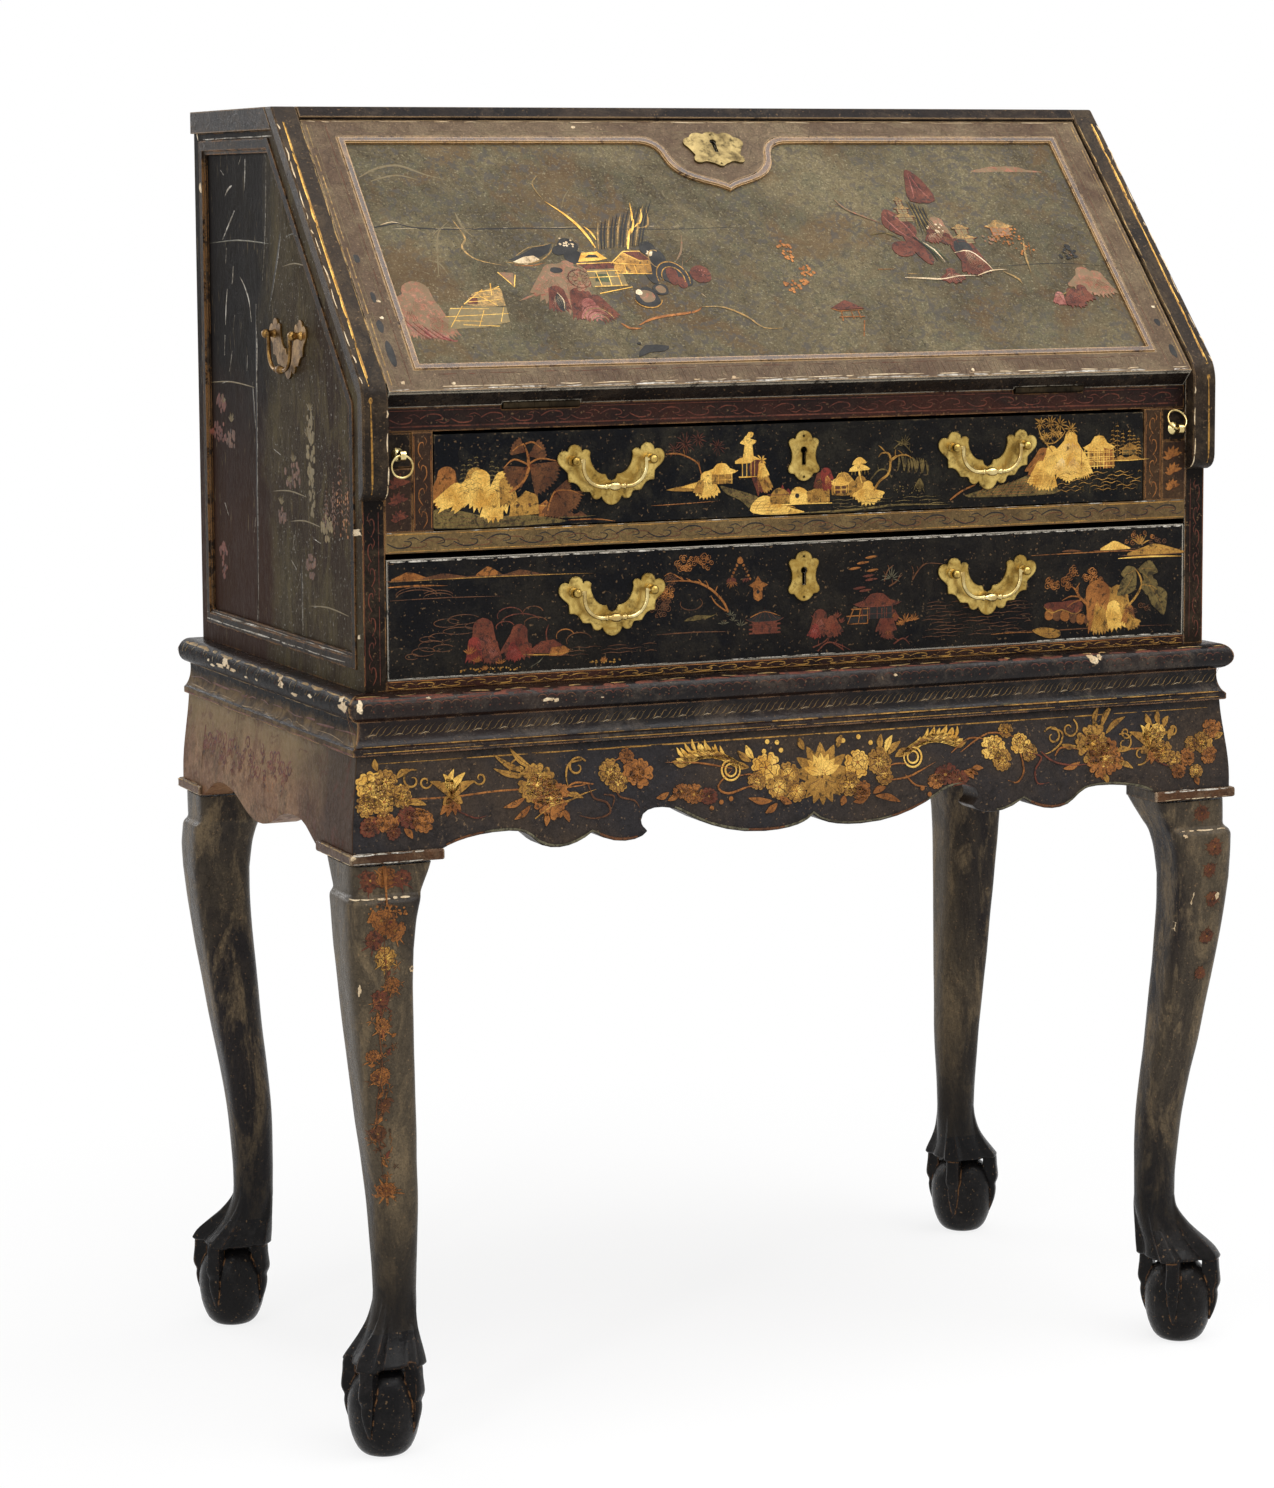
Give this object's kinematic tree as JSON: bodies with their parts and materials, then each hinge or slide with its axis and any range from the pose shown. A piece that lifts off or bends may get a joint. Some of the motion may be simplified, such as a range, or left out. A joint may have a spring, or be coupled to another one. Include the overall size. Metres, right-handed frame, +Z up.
{
  "type": "bureau on stand",
  "caption": "Black lacquered slope-front bureau with gilt chinoiserie, brass bail handles and a fall, on a stand with cabriole legs and claw feet.",
  "frame": {"origin": "on the floor below the middle of the object", "axes": "+X to the right seen from the front, +Y to the back, +Z up; the slope faces -Y"},
  "size_m": [0.7374, 0.4234, 0.98],
  "materials": {
    "lacquer_black": "aged black lacquer with gilt",
    "lacquer_brown": "aged brown-black lacquer with gilt",
    "red_lacquer": "satin red lacquer",
    "bare_oak": "bare",
    "gilt_moulding": "worn gilding",
    "brass": "worn bright brass"
  },
  "bodies": {
    "case_and_stand": {"leg_front_left": "lacquer_brown", "leg_front_right": "lacquer_brown", "leg_back_left": "lacquer_brown", "leg_back_right": "lacquer_brown", "apron_front": "lacquer_brown", "apron_left": "lacquer_brown", "apron_right": "lacquer_brown", "stand_back_rail": "bare_oak", "stand_moulding": "lacquer_brown", "knee_collars": "lacquer_brown", "stand_bearers": "bare_oak", "cheek_left": "lacquer_black", "cheek_right": "lacquer_black", "cheek_lips": "lacquer_black", "side_panel_mouldings": "gilt_moulding", "top_board": "lacquer_black", "back_boards": "bare_oak", "bottom_board": "bare_oak", "base_rail": "lacquer_black", "writing_board": "lacquer_black", "drawer_blade": "lacquer_brown", "front_stiles": "lacquer_brown", "runners_and_guides": "bare_oak", "gallery": "red_lacquer", "side_handle_mounts": "brass", "hinge_case_leaves": "brass", "hinge_pins": "brass"},
    "fall": {"fall_board": "lacquer_black", "fall_border_frame": "lacquer_black", "fall_bead": "gilt_moulding", "fall_escutcheon": "brass", "fall_lock": "brass", "hinge_fall_leaves": "brass"},
    "loper_left_slide": {"loper_left": "lacquer_black", "loper_left_post": "brass"},
    "loper_left_pull": {"loper_left_ring": "brass"},
    "loper_right_slide": {"loper_right": "lacquer_black", "loper_right_post": "brass"},
    "loper_right_pull": {"loper_right_ring": "brass"},
    "upper_drawer": {"upper_drawer_front": "lacquer_black", "upper_drawer_box": "bare_oak", "upper_drawer_bottom": "bare_oak", "upper_handle_mounts": "brass", "upper_escutcheon": "brass", "upper_lock": "brass"},
    "upper_left_bail": {"upper_bail_left": "brass"},
    "upper_right_bail": {"upper_bail_right": "brass"},
    "lower_drawer": {"lower_drawer_front": "lacquer_black", "lower_drawer_box": "bare_oak", "lower_drawer_bottom": "bare_oak", "lower_handle_mounts": "brass", "lower_escutcheon": "brass", "lower_lock": "brass"},
    "lower_left_bail": {"lower_bail_left": "brass"},
    "lower_right_bail": {"lower_bail_right": "brass"},
    "left_carrying_bail": {"side_bail_left": "brass"},
    "right_carrying_bail": {"side_bail_right": "brass"},
    "gallery_drawer_left": {"small_drawer_left": "red_lacquer"},
    "gallery_drawer_middle": {"small_drawer_middle": "red_lacquer"},
    "gallery_drawer_right": {"small_drawer_right": "red_lacquer"}
  },
  "joints": [
    {"name": "fall_hinge", "type": "hinge", "parent": "case_and_stand", "child": "fall", "pos_m": [0, -0.187, 0.7635], "axis": [1, 0, 0], "range_deg": [0, 133.8]},
    {"name": "loper_left_slide_joint", "type": "slide", "parent": "case_and_stand", "child": "loper_left_slide", "axis": [0, -1, 0], "range_m": [0, 0.24]},
    {"name": "loper_right_slide_joint", "type": "slide", "parent": "case_and_stand", "child": "loper_right_slide", "axis": [0, -1, 0], "range_m": [0, 0.24]},
    {"name": "loper_left_pull_joint", "type": "hinge", "parent": "loper_left_slide", "child": "loper_left_pull", "pos_m": [-0.3209, -0.198, 0.7302], "axis": [-1, 0, 0], "range_deg": [0, 150]},
    {"name": "loper_right_pull_joint", "type": "hinge", "parent": "loper_right_slide", "child": "loper_right_pull", "pos_m": [0.3209, -0.198, 0.7302], "axis": [1, 0, 0], "range_deg": [0, 175]},
    {"name": "upper_drawer_slide", "type": "slide", "parent": "case_and_stand", "child": "upper_drawer", "axis": [0, -1, 0], "range_m": [0, 0.28]},
    {"name": "lower_drawer_slide", "type": "slide", "parent": "case_and_stand", "child": "lower_drawer", "axis": [0, -1, 0], "range_m": [0, 0.28]},
    {"name": "upper_left_bail_joint", "type": "hinge", "parent": "upper_drawer", "child": "upper_left_bail", "pos_m": [-0.156, -0.1971, 0.7215], "axis": [-1, 0, 0], "range_deg": [0, 105]},
    {"name": "lower_left_bail_joint", "type": "hinge", "parent": "lower_drawer", "child": "lower_left_bail", "pos_m": [-0.156, -0.1971, 0.6255], "axis": [-1, 0, 0], "range_deg": [0, 105]},
    {"name": "left_carrying_bail_joint", "type": "hinge", "parent": "case_and_stand", "child": "left_carrying_bail", "pos_m": [-0.3536, -0.0255, 0.811], "axis": [0, 1, 0], "range_deg": [0, 100]},
    {"name": "upper_right_bail_joint", "type": "hinge", "parent": "upper_drawer", "child": "upper_right_bail", "pos_m": [0.156, -0.1971, 0.7215], "axis": [-1, 0, 0], "range_deg": [0, 105]},
    {"name": "lower_right_bail_joint", "type": "hinge", "parent": "lower_drawer", "child": "lower_right_bail", "pos_m": [0.156, -0.1971, 0.6255], "axis": [-1, 0, 0], "range_deg": [0, 105]},
    {"name": "right_carrying_bail_joint", "type": "hinge", "parent": "case_and_stand", "child": "right_carrying_bail", "pos_m": [0.3536, -0.0255, 0.811], "axis": [0, -1, 0], "range_deg": [0, 100]},
    {"name": "gallery_drawer_left_slide", "type": "slide", "parent": "case_and_stand", "child": "gallery_drawer_left", "axis": [0, -1, 0], "range_m": [0, 0.12]},
    {"name": "gallery_drawer_middle_slide", "type": "slide", "parent": "case_and_stand", "child": "gallery_drawer_middle", "axis": [0, -1, 0], "range_m": [0, 0.12]},
    {"name": "gallery_drawer_right_slide", "type": "slide", "parent": "case_and_stand", "child": "gallery_drawer_right", "axis": [0, -1, 0], "range_m": [0, 0.12]}
  ]
}
